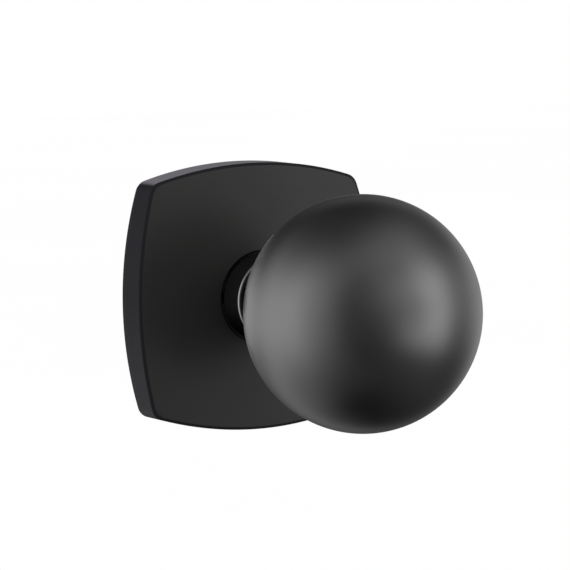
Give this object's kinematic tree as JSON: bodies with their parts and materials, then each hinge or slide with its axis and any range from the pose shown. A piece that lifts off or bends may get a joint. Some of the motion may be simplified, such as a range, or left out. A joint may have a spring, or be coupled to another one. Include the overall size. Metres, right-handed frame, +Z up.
{
  "type": "door knob",
  "caption": "Ball door knob on a square rosette with bowed sides, with its collar, mounting plate, return spring, spindle and bolt posts.",
  "frame": {"origin": "centre of the rosette on the face of the door, on the knob's turning axis", "axes": "+Z up, +X to the right for a person facing the knob, +Y into the door, so the knob stands out towards -Y"},
  "size_m": [0.067, 0.1331, 0.067],
  "materials": {
    "rosette_black": "satin black, fine even texture",
    "knob_black": "satin black, smooth",
    "collar_black": "satin black, turned",
    "fibre_black": "matte black fibre",
    "cast_zinc": "as-cast zinc alloy, dull",
    "plated_sheet": "zinc plated, pressed",
    "bright_steel": "zinc plated, bright",
    "dark_steel": "blackened steel",
    "spring_steel": "oil-tempered spring steel",
    "nylon_black": "moulded nylon",
    "nylon_white": "moulded nylon, natural"
  },
  "bodies": {
    "mount": {"rosette": "rosette_black", "collar_washer": "fibre_black", "retaining_collar": "collar_black", "mounting_plate": "cast_zinc", "bolt_posts": "bright_steel", "wood_screws": "bright_steel", "housing_screws": "bright_steel", "neck_bush": "nylon_black", "thrust_washer": "nylon_white", "spring_washer": "spring_steel", "spring_housing": "plated_sheet", "rear_bush": "nylon_white", "stop_pin": "bright_steel", "return_spring": "spring_steel"},
    "knob": {"knob_ball": "knob_black", "knob_neck": "knob_black", "neck_set_screw": "dark_steel", "spindle": "bright_steel", "retaining_clip": "dark_steel", "drive_hub": "cast_zinc"}
  },
  "joints": [
    {"name": "knob_turn", "type": "hinge", "parent": "mount", "child": "knob", "pos_m": [0, 0, 0], "axis": [0, 1, 0], "range_deg": [-50, 50], "stiffness_Nm_per_rad": 0.35, "deforming": ["return_spring"]}
  ]
}
